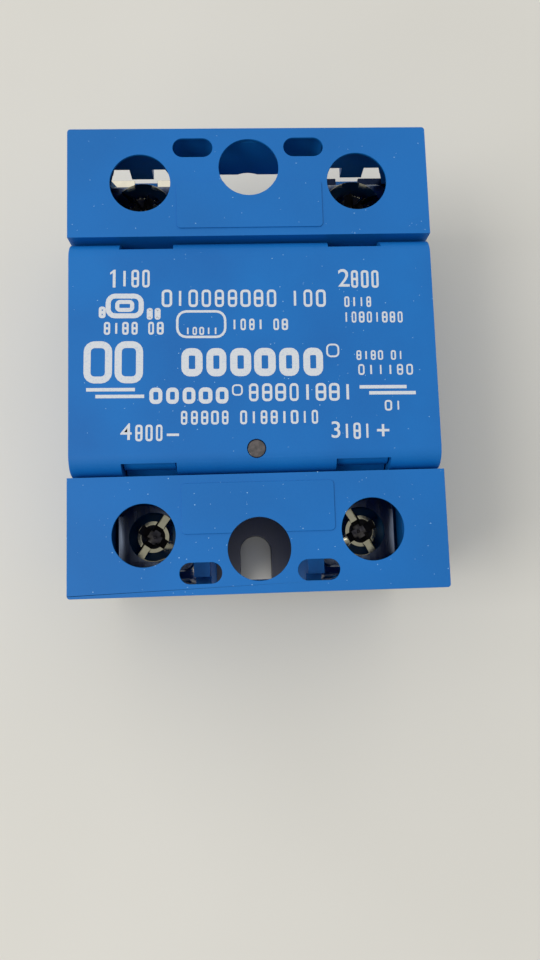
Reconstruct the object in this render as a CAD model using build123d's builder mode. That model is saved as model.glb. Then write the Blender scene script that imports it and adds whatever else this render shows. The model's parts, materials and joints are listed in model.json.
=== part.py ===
from build123d import *
import os
from math import cos, radians, sin
from typing import NamedTuple

# A panel-mount solid state relay: a potted plastic tower on an aluminium base plate,
# with two hinged terminal covers, two power terminals (+Y end) and two control
# terminals (-Y end). All sizes are in millimetres. The origin is the centre of the
# base plate's underside, +X runs across the relay and +Z points up.

# ---- overall sizes ----
LENGTH = 58.0
COVER_WIDTH = 45.0
BODY_WIDTH = 44.8
TOWER_WIDTH = 44.6
TOWER_TOP = 30.0
CORNER_R = 0.4
END_CUT = 5.0

# ---- base plate and its mounting points ----
BASE_THICK = 3.0
MOUNT_Y = 23.8
MOUNT_HOLE_R = 2.4
SEAL_THICK = 0.3
SEAL_INSET = 0.4
BASE_CHAMFER = 0.25

# ---- moulded housing ----
HOUSING_BOTTOM = BASE_THICK + SEAL_THICK
DECK_Z = 21.3
TOWER_HALF_Y = 14.6
EDGE_R = 2.5
CHANNEL_HALF = 6.1
PARTITION_OUT = 8.1
PARTITION_TOP = 25.0
PARTITION_Y0 = 18.2
PARTITION_Y1 = 27.0
POWER_CHAMBER_OUT = 20.05
CONTROL_CHAMBER_OUT = 19.0
END_LIP = 1.0
CAVITY_HALF_X = 20.4
CAVITY_HALF_Y = 13.0
CAVITY_SHELF_Z = 21.5
CAVITY_UPPER_HALF_Y = 9.0
CAVITY_TOP_Z = 28.2
SHANK_WELL_Z = 8.0
SHANK_WELL_GAP = 0.6

# ---- cover hinge, moulded into the tower's rounded edges ----
HINGE_Y = TOWER_HALF_Y - EDGE_R
HINGE_Z = TOWER_TOP - EDGE_R
HINGE_PIN_R = 0.8
HINGE_BORE_R = 0.85
HOOK_R = 1.7
HOOK_ARM = 1.2
HOOK_ARM_ANGLE = -50.0
NOTCH_R = 1.95
NOTCH_X = 12.9
NOTCH_WIDTH = 6.6
HOOK_WIDTH = 6.2
NOTCH_OPEN_ANGLE = 61.0
NOTCH_BACK_DROP = 2.3
NOTCH_FOOT_Y = 13.9
NOTCH_FOOT_Z = 22.9
NOTCH_OUT_Y = 16.0
NOTCH_OUT_Z = 31.5
NOTCH_LIP_R = 4.6
HOOK_ROOT_R = 1.2
HOOK_TIP_R = 5.0
HOOK_MOUTH_R = 3.0
HOOK_MOUTH_ANGLES = (90.0, 170.0)

# ---- terminal covers ----
COVER_INNER_Y = 14.85
COVER_TOP = 29.85
COVER_BOTTOM = 21.5
COVER_SKIN = 0.8
OPENING_RELIEF = 0.5
COVER_SIDE = 1.4
COVER_HINGE_WALL = 1.2
COVER_HINGE_WALL_BOTTOM = 23.2
ACCESS_R = 3.75
SCREW_ACCESS_X = 13.55
SCREW_ACCESS_Y = 21.85
SLOT_X = 6.95
SLOT_Y = 26.45
SLOT_LONG = 5.0
SLOT_HIGH = 2.5
PAD_LONG = 18.1
PAD_DEEP = 6.0
PAD_Y = 18.87
PAD_RAISE = 0.15
PAD_CORNER_R = 0.5
END_NOTCH_R = 2.4
END_NOTCH_DROP = 2.0
WIRE_GAP_X = 14.5
WIRE_GAP_TOP = 22.9
WIRE_GAP_FOOT = 17.4
WIRE_GAP_TOP_HALF = 3.4
WIRE_GAP_FOOT_HALF = 5.0
PILLAR_IN = 12.9
PILLAR_OUT = 15.9
PILLAR_BOTTOM = 20.5

# ---- terminals: centre x, centre y, tab top z, tab width ----
POWER_X = 14.3
POWER_Y = 22.2
POWER_TAB_Z = 18.0
POWER_TAB_WIDE = 11.2
CONTROL_X = 13.5
CONTROL_Y = 21.75
CONTROL_TAB_Z = 17.4
CONTROL_TAB_WIDE = 10.4
TAB_THICK = 1.0
TAB_END_Y = 28.9
LEG_Y = 10.5
LEG_WIDE = 6.0
CONTROL_LEG_WIDE = 3.0
FIT = 0.05
TAB_GAP = 0.4
TAB_HOLE_GAP = 0.3
TAB_NOTCH_WIDE = 3.2
TAB_NOTCH_DEEP = 1.8
CONTROL_LEG_FOOT = 1.0
WASHER_CORNER_R = 1.6

# ---- clamp plates and screws ----
POWER_PLATE = (11.0, 10.4)
POWER_PLATE_THICK = 1.2
POWER_HEAD_R = 4.1
POWER_HEAD_HIGH = 3.2
POWER_SHANK_R = 2.45
POWER_SHANK_LONG = 9.2
CONTROL_PLATE = (10.4, 9.2)
CONTROL_PLATE_THICK = 1.0
RIDGE_WIDE = 1.0
RIDGE_HIGH = 0.25
CONTROL_HEAD_R = 3.2
CONTROL_HEAD_HIGH = 3.0
CONTROL_SHANK_R = 1.95
CONTROL_SHANK_LONG = 8.0
POWER_CROSS = 5.0
CONTROL_CROSS = 4.2
CROSS_ARM = 1.1
CROSS_DEPTH = 2.0
CROSS_TAPER = 12
SLOT_WIDE = 1.0
SLOT_DEPTH = 1.2
SHANK_TIP = 0.4
HEAD_ROUND = 0.35
SERRATION_WIDE = 0.4
SERRATION_DEEP = 0.25
SERRATION_INSET = 0.7
PLATE_CHAMFER = 0.25
POWER_SLOT_ANGLES = {"left": -38.0, "right": 24.0}
CONTROL_SLOT_ANGLES = {"left": 56.0, "right": 119.0}

# ---- captive nuts ----
POWER_NUT = 8.0
POWER_NUT_THICK = 4.0
CONTROL_NUT = 7.0
CONTROL_NUT_THICK = 3.2
NUT_CHAMFER = 0.4

# ---- inside the tower ----
CERAMIC_X = 36.0
CERAMIC_Y = 23.0
CERAMIC_THICK = 0.6
COPPER_THICK = 0.3
COPPER_X = 9.1
COPPER_WIDE = 17.2
COPPER_LONG = 22.2
CHIP = 7.0
CHIP_THICK = 0.4
CHIP_X = 6.0
GEL_TOP = 9.0
BOARD_Z = 12.0
BOARD_THICK = 1.6
BOARD_X = 38.0
BOARD_Y0 = -12.9
BOARD_Y1 = 7.6
GATE_PIN_R = 0.4
GATE_X = 3.2
GATE_SPAN = 2.6
GATE_Y = 1.5
GATE_PIN_ABOVE = 0.8
LED_Y = -11.86
LED_R = 1.0
LED_BODY = 3.2
GUIDE_GAP = 0.2
GUIDE_ROUND = 0.15
GUIDE_R = 1.1
GUIDE_TOP = 29.85
SUPPRESSOR_Y = 7.4
SUPPRESSOR_R = 5.0
SUPPRESSOR_THICK = 3.6
SUPPRESSOR_ROUND = 0.9
SUPPRESSOR_RISE = 6.4
LEAD_PLACES = ((-3.75, 5.6), (3.75, 5.6))
LEAD_R = 0.4
LEAD_LONG = 4.4
CAPACITOR_PLACE = (11.5, -4.5)
CAPACITOR_R = 3.15
CAPACITOR_HIGH = 7.0
CAPACITOR_ROUND = 0.5

CERAMIC_TOP = BASE_THICK + CERAMIC_THICK
COPPER_TOP = CERAMIC_TOP + COPPER_THICK
BOARD_TOP = BOARD_Z + BOARD_THICK

os.makedirs("parts", exist_ok=True)


def save(part, name):
    """Label a finished piece and write it as one STEP file."""
    part.label = name
    export_step(part, f"parts/{name}.step")


def box_sketch(x0, x1, y0, y1):
    """A rectangle given by its limits, for use inside a BuildSketch."""
    with Locations(((x0 + x1) / 2, (y0 + y1) / 2)):
        Rectangle(x1 - x0, y1 - y0)


def hinge_point(radius, angle):
    """A point in the YZ plane at a radius and an angle from the hinge axis."""
    return (HINGE_Y + radius * cos(radians(angle)), HINGE_Z + radius * sin(radians(angle)))


# ---------------------------------------------------------------- base plate
with BuildPart() as base_plate:
    with BuildSketch():
        RectangleRounded(BODY_WIDTH, LENGTH, CORNER_R)
        with Locations((0, MOUNT_Y)):
            Circle(MOUNT_HOLE_R, mode=Mode.SUBTRACT)
        with Locations((0, -MOUNT_Y)):
            Circle(MOUNT_HOLE_R, mode=Mode.SUBTRACT)
        with Locations((0, -MOUNT_Y - END_CUT)):
            Rectangle(2 * MOUNT_HOLE_R, 2 * END_CUT, mode=Mode.SUBTRACT)
    extrude(amount=BASE_THICK)
    chamfer(base_plate.faces().sort_by(Axis.Z)[0].outer_wire().edges(), BASE_CHAMFER)
save(base_plate.part, "base_plate")


# ---------------------------------------------------------------- adhesive seal
with BuildPart() as adhesive_seal:
    with BuildSketch(Plane.XY.offset(BASE_THICK)):
        RectangleRounded(BODY_WIDTH - 2 * SEAL_INSET, LENGTH - 2 * SEAL_INSET, CORNER_R)
        Rectangle(2 * CAVITY_HALF_X, 2 * CAVITY_HALF_Y, mode=Mode.SUBTRACT)
        for end in (-1, 1):
            with Locations((0, end * MOUNT_Y)):
                Circle(CHANNEL_HALF + SEAL_INSET, mode=Mode.SUBTRACT)
            with Locations((0, end * (MOUNT_Y + END_CUT))):
                Rectangle(2 * (CHANNEL_HALF + SEAL_INSET), 2 * END_CUT, mode=Mode.SUBTRACT)
    extrude(amount=SEAL_THICK)
save(adhesive_seal.part, "adhesive_seal")


# ---------------------------------------------------------------- terminal sizes
class Terminal(NamedTuple):
    """The sizes in which the power terminals and the control terminals differ."""

    kind: str
    end: int
    x: float
    y: float
    tab_z: float
    tab_wide: float
    chamber_out: float
    leg_wide: float
    foot_z: float
    nut: float
    nut_thick: float
    plate: tuple
    plate_thick: float
    head_r: float
    head_high: float
    shank_r: float
    shank_long: float
    cross: float
    slot_angles: dict


TERMINALS = (
    Terminal("power", 1, POWER_X, POWER_Y, POWER_TAB_Z, POWER_TAB_WIDE,
             POWER_CHAMBER_OUT, LEG_WIDE, COPPER_TOP, POWER_NUT, POWER_NUT_THICK,
             POWER_PLATE, POWER_PLATE_THICK, POWER_HEAD_R, POWER_HEAD_HIGH, POWER_SHANK_R,
             POWER_SHANK_LONG, POWER_CROSS, POWER_SLOT_ANGLES),
    Terminal("control", -1, CONTROL_X, CONTROL_Y, CONTROL_TAB_Z, CONTROL_TAB_WIDE,
             CONTROL_CHAMBER_OUT, CONTROL_LEG_WIDE, BOARD_Z - CONTROL_LEG_FOOT, CONTROL_NUT,
             CONTROL_NUT_THICK, CONTROL_PLATE, CONTROL_PLATE_THICK, CONTROL_HEAD_R,
             CONTROL_HEAD_HIGH, CONTROL_SHANK_R, CONTROL_SHANK_LONG, CONTROL_CROSS,
             CONTROL_SLOT_ANGLES),
)
SIDES = (("left", -1), ("right", 1))


def wire_gap_sketch(side, mode):
    """The wire entry's outline, wider at the foot, for use inside a BuildSketch."""
    corners = [
        (WIRE_GAP_X - WIRE_GAP_FOOT_HALF, WIRE_GAP_FOOT),
        (WIRE_GAP_X + WIRE_GAP_FOOT_HALF, WIRE_GAP_FOOT),
        (WIRE_GAP_X + WIRE_GAP_TOP_HALF, WIRE_GAP_TOP),
        (WIRE_GAP_X - WIRE_GAP_TOP_HALF, WIRE_GAP_TOP),
    ]
    outline = [(side * x, z) for x, z in corners]
    Polygon(*outline[::side], align=(Align.NONE, Align.NONE), mode=mode)


# ---------------------------------------------------------------- housing
NOTCH_OUTLINE = [
    (HINGE_Y, HINGE_Z),
    (HINGE_Y, HINGE_Z - NOTCH_BACK_DROP),
    (NOTCH_FOOT_Y, NOTCH_FOOT_Z),
    (NOTCH_OUT_Y, NOTCH_FOOT_Z),
    (NOTCH_OUT_Y, NOTCH_OUT_Z),
    hinge_point(NOTCH_LIP_R, NOTCH_OPEN_ANGLE),
]

with BuildPart() as housing:
    with BuildSketch(Plane.XY.offset(HOUSING_BOTTOM)):
        RectangleRounded(BODY_WIDTH, LENGTH, CORNER_R)
    extrude(amount=DECK_Z - HOUSING_BOTTOM)
    with BuildSketch(Plane.YZ.offset(-TOWER_WIDTH / 2)):
        with Locations((0, (TOWER_TOP + HOUSING_BOTTOM) / 2)):
            Rectangle(2 * TOWER_HALF_Y, TOWER_TOP - HOUSING_BOTTOM)
    extrude(amount=TOWER_WIDTH)
    tower_edges = housing.edges().filter_by(Axis.X).group_by(Axis.Z)[-1]
    fillet(tower_edges, EDGE_R)
    # mounting channels, open at each end
    with BuildSketch(Plane.XY.offset(HOUSING_BOTTOM)):
        for end in (-1, 1):
            with Locations((0, end * MOUNT_Y)):
                Circle(CHANNEL_HALF)
            with Locations((0, end * (MOUNT_Y + END_CUT))):
                Rectangle(2 * CHANNEL_HALF, 2 * END_CUT)
    extrude(amount=DECK_Z - HOUSING_BOTTOM, mode=Mode.SUBTRACT)
    # partitions that stand up between the channel and the terminals
    with BuildSketch(Plane.XY.offset(DECK_Z)):
        middle = (CHANNEL_HALF + PARTITION_OUT) / 2
        for side in (-1, 1):
            for end in (-1, 1):
                with Locations((side * middle, end * (PARTITION_Y0 + PARTITION_Y1) / 2)):
                    Rectangle(PARTITION_OUT - CHANNEL_HALF, PARTITION_Y1 - PARTITION_Y0)
    extrude(amount=PARTITION_TOP - DECK_Z)
    # terminal chambers, nut pockets and strip slots
    for row in TERMINALS:
        floor = row.tab_z - TAB_THICK
        for _, side in SIDES:
            place = (side * row.x, row.end * row.y)
            with BuildSketch(Plane.XY.offset(floor)):
                box_sketch(*sorted((side * PARTITION_OUT, side * row.chamber_out)),
                           *sorted((row.end * TOWER_HALF_Y, row.end * (LENGTH / 2 + END_CUT))))
            extrude(amount=DECK_Z - floor, mode=Mode.SUBTRACT)
            # lips that close the chamber's end on both sides of the wire entry
            lip_face = LENGTH / 2 if row.end > 0 else END_LIP - LENGTH / 2
            with BuildSketch(Plane.XZ.offset(-lip_face)):
                box_sketch(*sorted((side * PARTITION_OUT, side * row.chamber_out)),
                           row.tab_z + FIT, DECK_Z)
                wire_gap_sketch(side, Mode.SUBTRACT)
            extrude(amount=END_LIP)
            with BuildSketch(Plane.XY.offset(floor - row.nut_thick)):
                with Locations(place):
                    Rectangle(row.nut + 2 * FIT, row.nut + 2 * FIT)
            extrude(amount=row.nut_thick, mode=Mode.SUBTRACT)
            with BuildSketch(Plane.XY.offset(SHANK_WELL_Z)):
                with Locations(place):
                    Circle(row.shank_r + SHANK_WELL_GAP)
            extrude(amount=floor - SHANK_WELL_Z, mode=Mode.SUBTRACT)
            with BuildSketch(Plane.XY.offset(floor)):
                with Locations((side * row.x, row.end * (CAVITY_HALF_Y + 1))):
                    Rectangle(row.leg_wide + 2 * FIT, 4)
            extrude(amount=TAB_THICK + FIT, mode=Mode.SUBTRACT)
    # electronics cavity, narrower above the shelf where the hinge notches are
    with BuildSketch(Plane.XY.offset(HOUSING_BOTTOM)):
        Rectangle(2 * CAVITY_HALF_X, 2 * CAVITY_HALF_Y)
    extrude(amount=CAVITY_SHELF_Z - HOUSING_BOTTOM, mode=Mode.SUBTRACT)
    with BuildSketch(Plane.XY.offset(CAVITY_SHELF_Z)):
        Rectangle(2 * CAVITY_HALF_X, 2 * CAVITY_UPPER_HALF_Y)
    extrude(amount=CAVITY_TOP_Z - CAVITY_SHELF_Z, mode=Mode.SUBTRACT)
    # light guide bore
    with BuildSketch(Plane.XY.offset(CAVITY_SHELF_Z)):
        with Locations((0, LED_Y)):
            Circle(GUIDE_R + FIT)
    extrude(amount=TOWER_TOP - CAVITY_SHELF_Z, mode=Mode.SUBTRACT)
    # hinge notches in both rounded edges, then the pins moulded across them
    for end in (-1, 1):
        outline = [(end * y, z) for y, z in NOTCH_OUTLINE]
        for side in (-1, 1):
            start_x = side * NOTCH_X - NOTCH_WIDTH / 2
            with BuildSketch(Plane.YZ.offset(start_x)):
                with BuildLine():
                    Polyline(*outline, close=True)
                make_face()
                with Locations((end * HINGE_Y, HINGE_Z)):
                    Circle(NOTCH_R)
            extrude(amount=NOTCH_WIDTH, mode=Mode.SUBTRACT)
            with BuildSketch(Plane.YZ.offset(start_x)):
                with Locations((end * HINGE_Y, HINGE_Z)):
                    Circle(HINGE_PIN_R)
            extrude(amount=NOTCH_WIDTH)
save(housing.part, "housing")


# ---------------------------------------------------------------- terminal covers
def side_slots_sketch(grow):
    """The cover's two side slots, for use inside a BuildSketch."""
    with Locations((-SLOT_X, SLOT_Y), (SLOT_X, SLOT_Y)):
        SlotOverall(SLOT_LONG + 2 * grow, SLOT_HIGH + 2 * grow)


def openings_sketch(grow):
    """The cover's access holes and side slots, for use inside a BuildSketch."""
    with Locations((0, MOUNT_Y), (-SCREW_ACCESS_X, SCREW_ACCESS_Y), (SCREW_ACCESS_X, SCREW_ACCESS_Y)):
        Circle(ACCESS_R + grow)
    side_slots_sketch(grow)


with BuildPart() as flap_power:
    middle_y = (COVER_INNER_Y + LENGTH / 2) / 2
    depth = LENGTH / 2 - COVER_INNER_Y
    with BuildSketch(Plane.XY.offset(COVER_BOTTOM)):
        with Locations((0, middle_y)):
            Rectangle(COVER_WIDTH, depth)
    extrude(amount=COVER_TOP - COVER_BOTTOM)
    outer_corners = flap_power.edges().filter_by(Axis.Z).group_by(Axis.Y)[-1]
    fillet(outer_corners, CORNER_R)
    # hollow underside
    with BuildSketch(Plane.XY.offset(COVER_BOTTOM)):
        inner_y0 = COVER_INNER_Y + COVER_HINGE_WALL
        inner_y1 = LENGTH / 2 - COVER_SIDE
        with Locations((0, (inner_y0 + inner_y1) / 2)):
            Rectangle(COVER_WIDTH - 2 * COVER_SIDE, inner_y1 - inner_y0)
    extrude(amount=COVER_TOP - COVER_SKIN - COVER_BOTTOM, mode=Mode.SUBTRACT)
    # the hinge-side wall stops short, clear of the partitions as it swings
    with BuildSketch(Plane.XY.offset(COVER_BOTTOM)):
        with Locations((0, COVER_INNER_Y)):
            Rectangle(COVER_WIDTH - 2 * COVER_SIDE, 2 * COVER_HINGE_WALL)
    extrude(amount=COVER_HINGE_WALL_BOTTOM - COVER_BOTTOM, mode=Mode.SUBTRACT)
    # raised label pad
    with BuildSketch(Plane.XY.offset(COVER_TOP)):
        with Locations((0, PAD_Y)):
            RectangleRounded(PAD_LONG, PAD_DEEP, PAD_CORNER_R)
    extrude(amount=PAD_RAISE)
    # access holes and side slots through the skin, flared towards the underside
    with BuildSketch(Plane.XY.offset(COVER_TOP - COVER_SKIN)):
        openings_sketch(0)
    extrude(amount=COVER_SKIN + 1, mode=Mode.SUBTRACT)
    with BuildSketch(Plane.XY.offset(COVER_TOP - COVER_SKIN)):
        openings_sketch(OPENING_RELIEF)
    extrude(amount=OPENING_RELIEF, taper=45, mode=Mode.SUBTRACT)
    # the side slots' flare runs on down the end wall, so that it leaves no ledge
    with BuildSketch(Plane.XY.offset(COVER_BOTTOM)):
        side_slots_sketch(OPENING_RELIEF)
    extrude(amount=COVER_TOP - COVER_SKIN - COVER_BOTTOM, mode=Mode.SUBTRACT)
    # wire entries in the end wall, each with a hanging pillar
    with BuildSketch(Plane.XZ.offset(-LENGTH / 2 - 1)):
        for side in (-1, 1):
            wire_gap_sketch(side, Mode.ADD)
        with Locations((0, COVER_BOTTOM - END_NOTCH_DROP)):
            Circle(END_NOTCH_R)
    extrude(amount=COVER_SIDE + 1.5, mode=Mode.SUBTRACT)
    with BuildSketch(Plane.XZ.offset(-LENGTH / 2)):
        for side in (-1, 1):
            box_sketch(*sorted((side * PILLAR_IN, side * PILLAR_OUT)), PILLAR_BOTTOM, WIRE_GAP_TOP)
    extrude(amount=COVER_SIDE)
    # hinge hooks: a diagonal arm and an open ring that snaps over the moulded pin
    for side in (-1, 1):
        with BuildSketch(Plane.YZ.offset(side * NOTCH_X - HOOK_WIDTH / 2)):
            with BuildLine():
                arm_out = (cos(radians(HOOK_ARM_ANGLE)), sin(radians(HOOK_ARM_ANGLE)))
                half = (-arm_out[1] * HOOK_ARM / 2, arm_out[0] * HOOK_ARM / 2)
                near = hinge_point(HOOK_ROOT_R, HOOK_ARM_ANGLE)
                far = hinge_point(HOOK_TIP_R, HOOK_ARM_ANGLE)
                Polyline((near[0] + half[0], near[1] + half[1]),
                         (far[0] + half[0], far[1] + half[1]),
                         (far[0] - half[0], far[1] - half[1]),
                         (near[0] - half[0], near[1] - half[1]), close=True)
            make_face()
            with Locations((HINGE_Y, HINGE_Z)):
                Circle(HOOK_R)
                Circle(HINGE_BORE_R, mode=Mode.SUBTRACT)
            with BuildLine():
                mouth = [hinge_point(HOOK_MOUTH_R, angle) for angle in HOOK_MOUTH_ANGLES]
                Polyline((HINGE_Y, HINGE_Z), *mouth, close=True)
            make_face(mode=Mode.SUBTRACT)
        extrude(amount=HOOK_WIDTH)
save(flap_power.part, "flap_power")

with BuildPart() as flap_control:
    mirror(flap_power.part, about=Plane.XZ)
save(flap_control.part, "flap_control")


# ---------------------------------------------------------------- terminals
def terminal_strip(row, side):
    """A flat tab with a screw hole, and a bent strip that goes down inside the tower."""
    strip_bottom = row.tab_z - TAB_THICK
    tab_start = TOWER_HALF_Y + TAB_GAP
    neck_end = TOWER_HALF_Y + 1
    x = side * row.x
    with BuildPart() as strip:
        with BuildSketch(Plane.XY.offset(strip_bottom)):
            with Locations((x, row.end * (tab_start + TAB_END_Y) / 2)):
                Rectangle(row.tab_wide, TAB_END_Y - tab_start)
            with Locations((x, row.end * (LEG_Y + neck_end) / 2)):
                Rectangle(row.leg_wide, neck_end - LEG_Y)
            with Locations((x, row.end * row.y)):
                Circle(row.shank_r + TAB_HOLE_GAP, mode=Mode.SUBTRACT)
            with Locations((x, row.end * TAB_END_Y)):
                Rectangle(TAB_NOTCH_WIDE, 2 * TAB_NOTCH_DEEP, mode=Mode.SUBTRACT)
        extrude(amount=TAB_THICK)
        with BuildSketch(Plane.XY.offset(row.foot_z)):
            with Locations((x, row.end * (LEG_Y + TAB_THICK / 2))):
                Rectangle(row.leg_wide, TAB_THICK)
        extrude(amount=strip_bottom - row.foot_z)
        bend = strip.edges().filter_by(Axis.X).filter_by_position(
            Axis.Z, row.tab_z - 0.01, row.tab_z + 0.01).sort_by(Axis.Y)
        inner = bend[0] if row.end > 0 else bend[-1]
        fillet(inner, TAB_THICK * 0.9)
    return strip.part


for row in TERMINALS:
    for name, side in SIDES:
        save(terminal_strip(row, side), f"{row.kind}_terminal_{name}")


# ---------------------------------------------------------------- captive nuts
def square_nuts(row):
    """A pair of plain square nuts, one each side, under the terminal tabs."""
    with BuildPart() as nuts:
        with BuildSketch(Plane.XY.offset(row.tab_z - TAB_THICK - row.nut_thick)):
            with Locations((-row.x, row.end * row.y), (row.x, row.end * row.y)):
                Rectangle(row.nut, row.nut)
                Circle(row.shank_r + FIT, mode=Mode.SUBTRACT)
        extrude(amount=row.nut_thick)
        chamfer(nuts.edges().filter_by(Axis.Z), NUT_CHAMFER)
    return nuts.part


for row in TERMINALS:
    save(square_nuts(row), f"{row.kind}_nuts")


# ---------------------------------------------------------------- clamp plates and screws
def clamp_plate(row, side):
    """A saddle plate with raised edges that its chamber's walls guide, serrated underneath."""
    x, y = side * row.x, row.end * row.y
    wide, long = row.plate
    with BuildPart() as plate:
        with BuildSketch(Plane.XY.offset(row.tab_z)):
            with Locations((x, y)):
                RectangleRounded(wide, long, WASHER_CORNER_R)
                Circle(row.shank_r + FIT, mode=Mode.SUBTRACT)
        extrude(amount=row.plate_thick)
        chamfer(plate.faces().sort_by(Axis.Z)[-1].outer_wire().edges(), PLATE_CHAMFER)
        top = row.tab_z + row.plate_thick
        with BuildSketch(Plane.XZ.offset(-y - long / 2 + WASHER_CORNER_R)):
            for step in (-1, 1):
                crest = x + step * (wide / 2 - PLATE_CHAMFER)
                root = crest - step * RIDGE_WIDE
                ridge = [(root, top), (root, top - RIDGE_HIGH), (crest, top - RIDGE_HIGH),
                         (crest, top + RIDGE_HIGH)]
                Polygon(*ridge[::step], align=(Align.NONE, Align.NONE))
        extrude(amount=long - 2 * WASHER_CORNER_R)
        with BuildSketch(Plane.XY.offset(row.tab_z)):
            for step in (-1, 1):
                with Locations((x + step * (wide / 2 - SERRATION_INSET), y)):
                    Rectangle(SERRATION_WIDE, long)
        extrude(amount=SERRATION_DEEP, mode=Mode.SUBTRACT)
    return plate.part


def clamp_screw(row, side, slot_angle):
    """A pan-head screw with a combined slot and cross recess."""
    x, y = side * row.x, row.end * row.y
    seat_z = row.tab_z + row.plate_thick
    top_z = seat_z + row.head_high
    with BuildPart() as screw:
        with BuildSketch(Plane.XY.offset(seat_z)):
            with Locations((x, y)):
                Circle(row.head_r)
        extrude(amount=row.head_high)
        fillet(screw.faces().sort_by(Axis.Z)[-1].edges(), row.head_high * HEAD_ROUND)
        with BuildSketch(Plane.XY.offset(seat_z - row.shank_long)):
            with Locations((x, y)):
                Circle(row.shank_r)
        extrude(amount=row.shank_long)
        chamfer(screw.faces().sort_by(Axis.Z)[0].edges(), SHANK_TIP)
        with BuildSketch(Plane.XY.offset(top_z - SLOT_DEPTH)):
            with Locations(Location((x, y), slot_angle)):
                Rectangle(2 * row.head_r, SLOT_WIDE)
        extrude(amount=2 * SLOT_DEPTH, mode=Mode.SUBTRACT)
        with BuildSketch(Plane.XY.offset(top_z)):
            with Locations(Location((x, y), slot_angle)):
                Rectangle(row.cross, CROSS_ARM)
                Rectangle(CROSS_ARM, row.cross)
        extrude(amount=-CROSS_DEPTH, taper=CROSS_TAPER, mode=Mode.SUBTRACT)
    return screw.part


for row in TERMINALS:
    for name, side in SIDES:
        save(clamp_plate(row, side), f"{row.kind}_clamp_{name}")
        save(clamp_screw(row, side, row.slot_angles[name]), f"{row.kind}_screw_{name}")


# ---------------------------------------------------------------- power stage
with BuildPart() as ceramic_substrate:
    with BuildSketch(Plane.XY.offset(BASE_THICK)):
        Rectangle(CERAMIC_X, CERAMIC_Y)
    extrude(amount=CERAMIC_THICK)
save(ceramic_substrate.part, "ceramic_substrate")

with BuildPart() as copper_pads:
    with BuildSketch(Plane.XY.offset(CERAMIC_TOP)):
        with Locations((-COPPER_X, 0), (COPPER_X, 0)):
            Rectangle(COPPER_WIDE, COPPER_LONG)
    extrude(amount=COPPER_THICK)
save(copper_pads.part, "copper_pads")

with BuildPart() as thyristor_chips:
    with BuildSketch(Plane.XY.offset(COPPER_TOP)):
        with Locations((-CHIP_X, 0), (CHIP_X, 0)):
            Rectangle(CHIP, CHIP)
    extrude(amount=CHIP_THICK)
save(thyristor_chips.part, "thyristor_chips")

CHIP_TOP = COPPER_TOP + CHIP_THICK
GATE_PLACES = [(side * (GATE_X + step * GATE_SPAN), GATE_Y) for side in (-1, 1) for step in (0, 1)]

with BuildPart() as gate_pins:
    with BuildSketch(Plane.XY.offset(CHIP_TOP)):
        with Locations(*GATE_PLACES):
            Circle(GATE_PIN_R)
    extrude(amount=BOARD_TOP + GATE_PIN_ABOVE - CHIP_TOP)
save(gate_pins.part, "gate_pins")

with BuildPart() as silicone_gel:
    with BuildSketch(Plane.XY.offset(BASE_THICK)):
        Rectangle(2 * CAVITY_HALF_X, 2 * CAVITY_HALF_Y)
    extrude(amount=GEL_TOP - BASE_THICK)
    with BuildSketch(Plane.XY.offset(BASE_THICK)):
        Rectangle(CERAMIC_X, CERAMIC_Y)
    extrude(amount=CERAMIC_THICK, mode=Mode.SUBTRACT)
    with BuildSketch(Plane.XY.offset(CERAMIC_TOP)):
        with Locations((-COPPER_X, 0), (COPPER_X, 0)):
            Rectangle(COPPER_WIDE, COPPER_LONG)
    extrude(amount=COPPER_THICK, mode=Mode.SUBTRACT)
    with BuildSketch(Plane.XY.offset(COPPER_TOP)):
        with Locations((-CHIP_X, 0), (CHIP_X, 0)):
            Rectangle(CHIP, CHIP)
    extrude(amount=CHIP_THICK, mode=Mode.SUBTRACT)
    with BuildSketch(Plane.XY.offset(COPPER_TOP)):
        for side in (-1, 1):
            with Locations((side * POWER_X, LEG_Y + TAB_THICK / 2)):
                Rectangle(LEG_WIDE, TAB_THICK)
    extrude(amount=GEL_TOP - COPPER_TOP, mode=Mode.SUBTRACT)
    with BuildSketch(Plane.XY.offset(CHIP_TOP)):
        with Locations(*GATE_PLACES):
            Circle(GATE_PIN_R)
    extrude(amount=GEL_TOP - CHIP_TOP, mode=Mode.SUBTRACT)
save(silicone_gel.part, "silicone_gel")


# ---------------------------------------------------------------- control board
with BuildPart() as control_board:
    with BuildSketch(Plane.XY.offset(BOARD_Z)):
        with Locations((0, (BOARD_Y0 + BOARD_Y1) / 2)):
            Rectangle(BOARD_X, BOARD_Y1 - BOARD_Y0)
        for side in (-1, 1):
            with Locations((side * CONTROL_X, -LEG_Y - TAB_THICK / 2)):
                Rectangle(CONTROL_LEG_WIDE, TAB_THICK, mode=Mode.SUBTRACT)
        with Locations(*GATE_PLACES):
            Circle(GATE_PIN_R, mode=Mode.SUBTRACT)
    extrude(amount=BOARD_THICK)
save(control_board.part, "control_board")


def board_blocks(places, size_x, size_y, height, soften):
    """Rectangular component bodies standing on the control board."""
    with BuildPart() as blocks:
        with BuildSketch(Plane.XY.offset(BOARD_TOP)):
            with Locations(*places):
                Rectangle(size_x, size_y)
        extrude(amount=height)
        if soften > 0:
            chamfer(blocks.faces().sort_by(Axis.Z)[-1].edges(), soften)
    return blocks.part


save(board_blocks([(0, -4.5)], 8.8, 6.4, 3.5, 0.4), "opto_coupler")
RESISTOR_PLACES = [(x, -9.7) for x in (-7.0, -3.6, 3.6, 7.0)] + [(x, 5.2) for x in (-11.0, 11.0)]
save(board_blocks(RESISTOR_PLACES, 1.6, 3.2, 0.6, 0), "board_resistors")
save(board_blocks([(-11.5, -4.5)], 6.6, 6.1, 2.3, 0.3), "regulator_transistor")

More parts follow.
